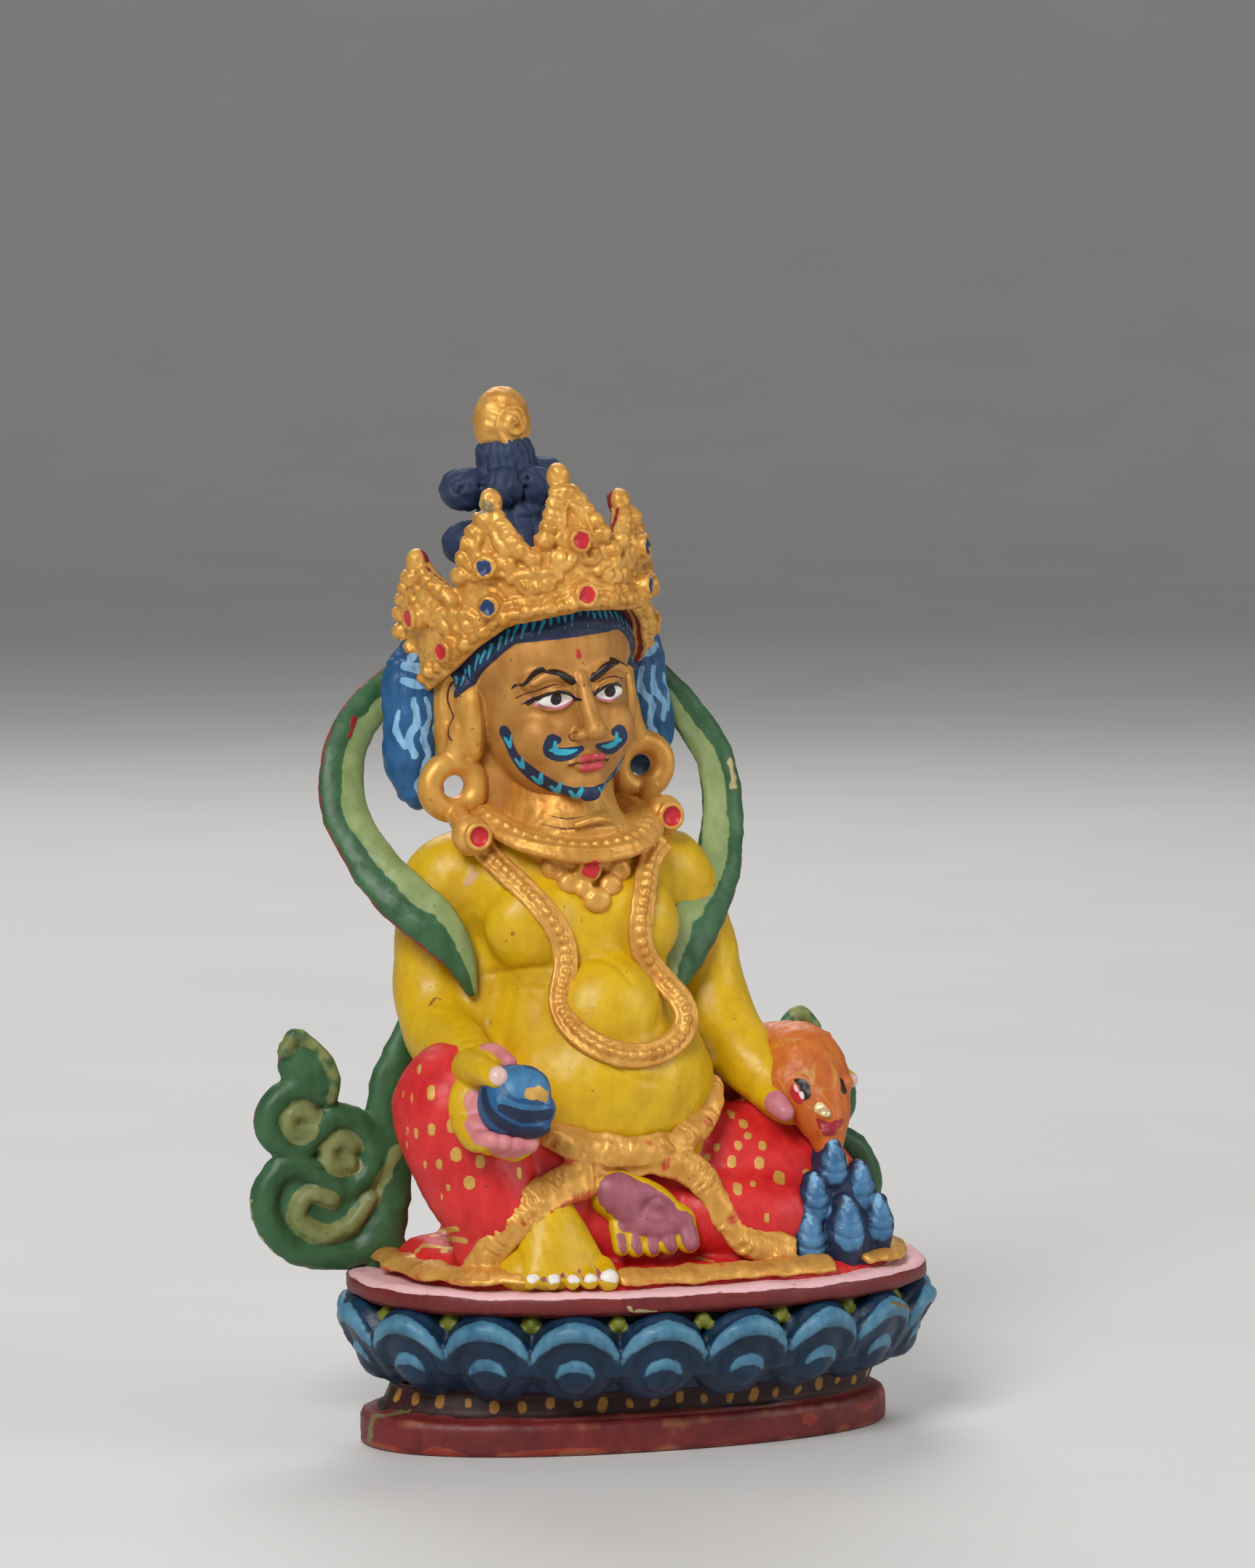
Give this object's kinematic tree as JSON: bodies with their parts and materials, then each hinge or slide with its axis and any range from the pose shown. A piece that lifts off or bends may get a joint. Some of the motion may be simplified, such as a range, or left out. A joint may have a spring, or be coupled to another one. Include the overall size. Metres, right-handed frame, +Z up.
{
  "type": "jambhala statue",
  "caption": "Painted one-piece cast statuette of a seated wealth deity with scarf, mongoose and jewels on an oval lotus base.",
  "frame": {"origin": "centre of the foot's flat underside, on the surface that the statue stands on", "axes": "+Z up, the figure faces -Y, +X is the figure's left, towards the mongoose"},
  "size_m": [0.0565, 0.0346, 0.0842],
  "materials": {
    "statue": "matte hand-painted colours over a cast body, with gold paint on the face, crown and jewellery"
  },
  "bodies": {
    "root": {"statue": "statue"}
  },
  "joints": []
}
